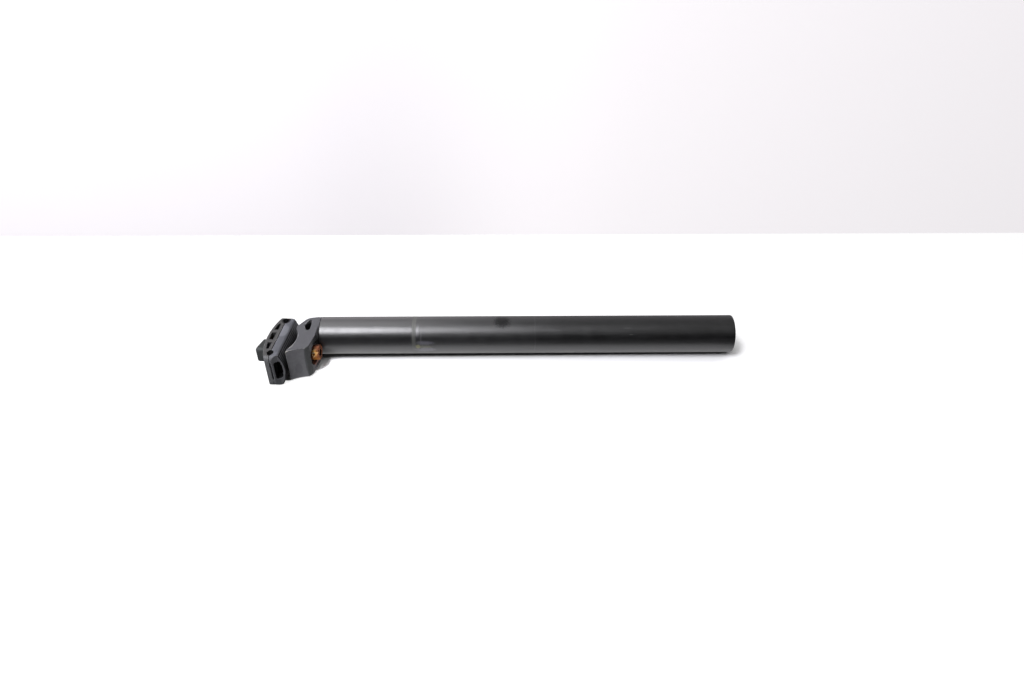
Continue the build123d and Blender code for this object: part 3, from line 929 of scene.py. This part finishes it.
def stageMaterial(name, look):
    # matt colour that fades with distance from the tube, or along X on the wall; light of its own for the
    # camera and a share for mirror rays; clear from behind
    s = stageSpec
    material = bpy.data.materials.new(name)
    material.use_nodes = True
    tree = material.node_tree
    tree.nodes.clear()
    spot = addNode(tree, "ShaderNodeTexCoord").outputs["Object"]
    axis = addNode(tree, "ShaderNodeSeparateXYZ", {"Vector": spot})
    x, y = axis.outputs["X"], axis.outputs["Y"]
    aside = minus(tree, calc(tree, "ABSOLUTE", minus(tree, x, s["tubeMiddle"])), s["tubeHalf"])
    fromTube = distance(tree, calc(tree, "MAXIMUM", aside, 0.0), y)
    faded = remap(tree, x if look["alongX"] else fromTube, *look["fade"])
    matt = addNode(tree, "ShaderNodeBsdfDiffuse", {"Color": stageColour(tree, x, y, faded, look)})
    path = addNode(tree, "ShaderNodeLightPath").outputs
    seen = calc(tree, "ADD", path["Is Camera Ray"], path["Is Transmission Ray"], clamp=True)
    own = times(tree, seen, stageGlow(tree, x, y, fromTube, faded, look["lift"]))
    mirrored = remap(tree, faded, 0, 1, *look["mirror"])
    mirrored = times(tree, mirrored, remap(tree, x, *s["mirrorFall"], 1.0, s["mirrorLeft"]))
    own = plus(tree, own, times(tree, path["Is Glossy Ray"], mirrored))
    glow = addNode(tree, "ShaderNodeEmission", {"Color": (*look["tint"], 1), "Strength": own})
    both = addNode(tree, "ShaderNodeAddShader", {0: matt.outputs[0], 1: glow.outputs[0]})
    side = addNode(tree, "ShaderNodeNewGeometry").outputs["Backfacing"]
    clear = addNode(tree, "ShaderNodeBsdfTransparent")
    pick = addNode(tree, "ShaderNodeMixShader", {0: side, 1: both.outputs[0], 2: clear.outputs[0]})
    addNode(tree, "ShaderNodeOutputMaterial", {"Surface": pick.outputs[0]})
    return material


def stagePlane(name, corners, material):
    # one quad that belongs to the stage
    mesh = bpy.data.meshes.new(name)
    mesh.from_pydata(corners, [], [(0, 1, 2, 3)])
    mesh.materials.append(material)
    plane = bpy.data.objects.new(name, mesh)
    scene.collection.objects.link(plane)


def addStage():
    # the floor under the tube and the wall behind it, both wide enough to fill the picture
    r, low, back, top = (stageSpec[key] for key in ("reach", "floorZ", "wallY", "wallTop"))
    floorCorners = [(-r, -r, low), (r, -r, low), (r, r, low), (-r, r, low)]
    wallCorners = [(-r, back, low), (r, back, low), (r, back, top), (-r, back, top)]
    stagePlane("floor", floorCorners, stageMaterial("floorWhite", floorLook))
    stagePlane("wall", wallCorners, stageMaterial("wallPale", wallLook))
    print("stage: floor at", low, "wall at", back)


addStage()


# light: a tall soft box above in front to the left, a weak panel high on the wall, and a dim room

lampSpecs = {
    "keyBox": {
        "at": (-0.38, -0.51, 1.15), "tilt": -23.5, "size": (0.55, 0.70), "power": 26.3,
        "colour": (0.96, 0.955, 1.0),
    },
    "backPanel": {
        "at": (-0.35, 0.16, 0.52), "tilt": 40.0, "size": (0.8, 0.45), "power": 3.0,
        "colour": (0.98, 0.975, 1.0),
    },
}
roomSpec = {"upward": (0.35, 0.95), "light": (0.01, 0.4), "backdrop": 0.9}


def addLamp(name, spec):
    # a panel tilted about X from facing straight down, hidden from the camera
    lamp = bpy.data.lights.new(name, "AREA")
    lamp.shape = "RECTANGLE"
    lamp.size, lamp.size_y = spec["size"]
    lamp.energy = spec["power"]
    lamp.color = spec["colour"]
    holder = bpy.data.objects.new(name, lamp)
    holder.rotation_euler = (math.radians(-spec["tilt"]), 0, 0)
    holder.location = spec["at"]
    holder.visible_camera = False
    scene.collection.objects.link(holder)


def addRoom():
    # white light that grows from dim at the sides to soft overhead, with a pale backdrop for the camera
    room = bpy.data.worlds.new("room")
    room.use_nodes = True
    scene.world = room
    tree = room.node_tree
    spot = addNode(tree, "ShaderNodeTexCoord").outputs["Generated"]
    way = addNode(tree, "ShaderNodeSeparateXYZ", {"Vector": spot})
    light = remap(tree, way.outputs["Z"], *roomSpec["upward"], *roomSpec["light"])
    seen = addNode(tree, "ShaderNodeLightPath").outputs["Is Camera Ray"]
    light = calc(tree, "MAXIMUM", light, times(tree, seen, roomSpec["backdrop"]))
    back = tree.nodes["Background"]
    tree.links.new(light, back.inputs["Strength"])
    back.inputs["Color"].default_value = (1, 1, 1, 1)


for name, spec in lampSpecs.items():
    addLamp(name, spec)
addRoom()
print("lights:", ", ".join(lampSpecs), "and the room")


# camera where the photograph was taken from

cameraSpec = {
    "at": (0.155877, -0.530787, 0.388162), "pitch": 36.7, "yaw": 0.509, "roll": -0.052,
    "focalPixels": 770.0, "imageWidth": 1024, "sensorWidth": 36.0, "clipStart": 0.01,
}


def addCamera():
    # turned up from straight down by what the pitch leaves of a right angle, then rolled and yawed; the lens
    # is the focal length in pixels over the picture's width, times the sensor's width
    c = cameraSpec
    camera = bpy.data.cameras.new("camera")
    camera.sensor_width = c["sensorWidth"]
    camera.lens = c["focalPixels"] / c["imageWidth"] * c["sensorWidth"]
    camera.clip_start = c["clipStart"]
    holder = bpy.data.objects.new("camera", camera)
    holder.location = c["at"]
    holder.rotation_euler = [math.radians(turn) for turn in (90 - c["pitch"], c["roll"], -c["yaw"])]
    scene.collection.objects.link(holder)
    scene.camera = holder
    print("camera lens", round(camera.lens, 2))


addCamera()
